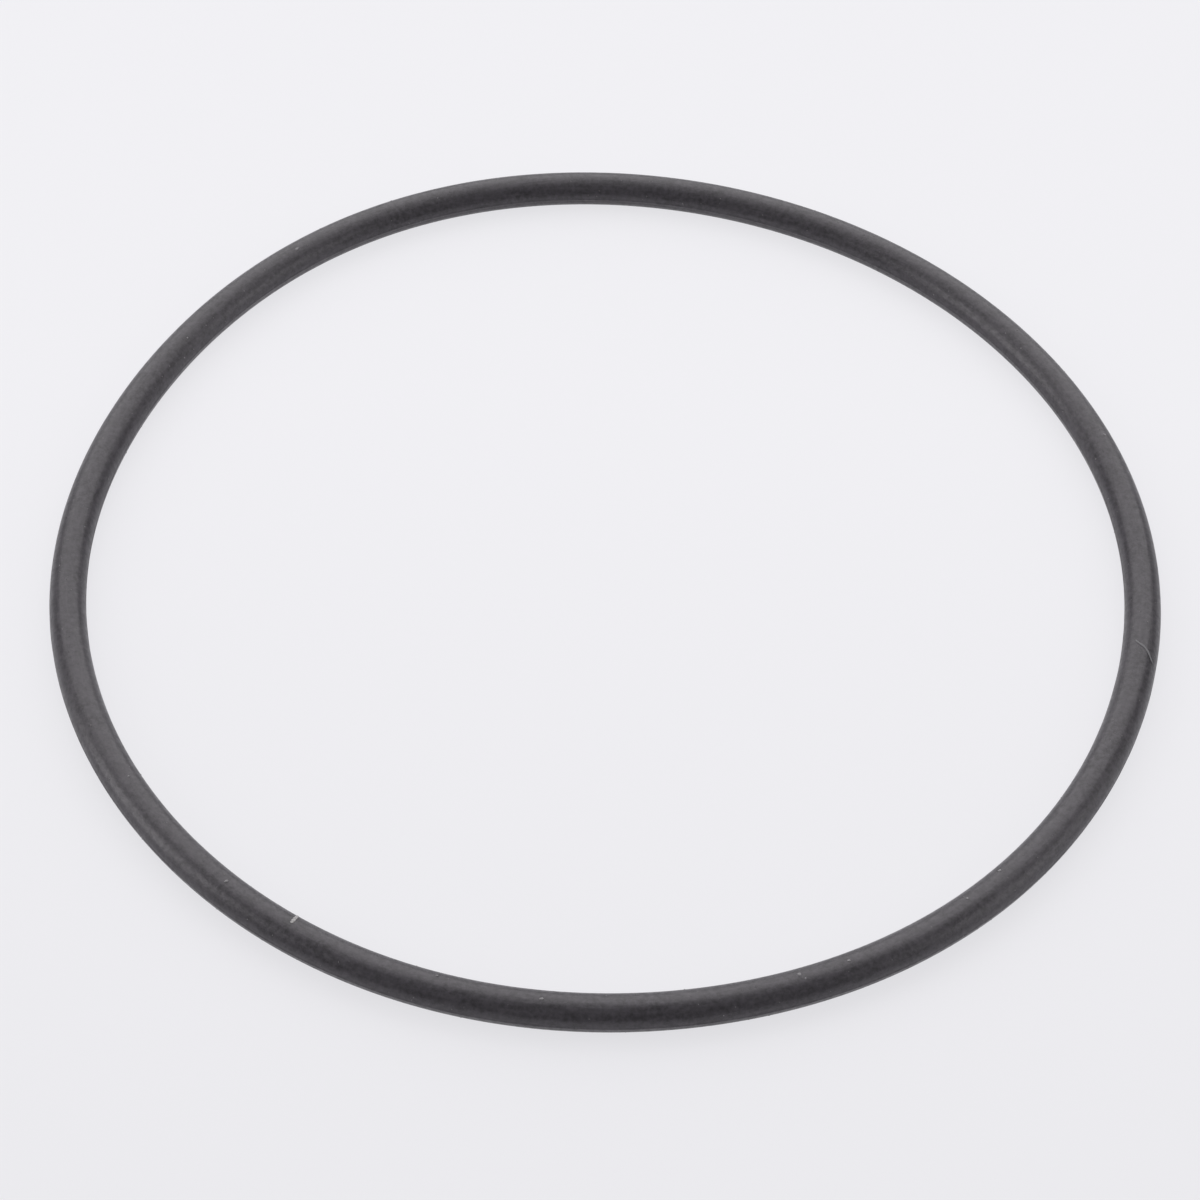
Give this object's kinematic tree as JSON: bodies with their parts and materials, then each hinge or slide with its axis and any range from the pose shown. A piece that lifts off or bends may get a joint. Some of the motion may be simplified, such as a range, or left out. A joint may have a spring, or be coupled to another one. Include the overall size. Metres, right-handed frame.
{
  "type": "rubber o-ring",
  "caption": "Black rubber sealing ring: a round cord closed into a flat circle, lying flat, with a fine moulding line inside and outside.",
  "frame": {"origin": "centre of the ring, on its axis, in the middle plane of the cord", "axes": "+Z along the ring's axis, upward as it lies flat; X and Y across the ring, which is the same all round"},
  "size_m": [0.096, 0.096, 0.003],
  "materials": {
    "black_rubber": "matt, slightly dusty"
  },
  "bodies": {
    "root": {"o_ring": "black_rubber"}
  },
  "joints": []
}
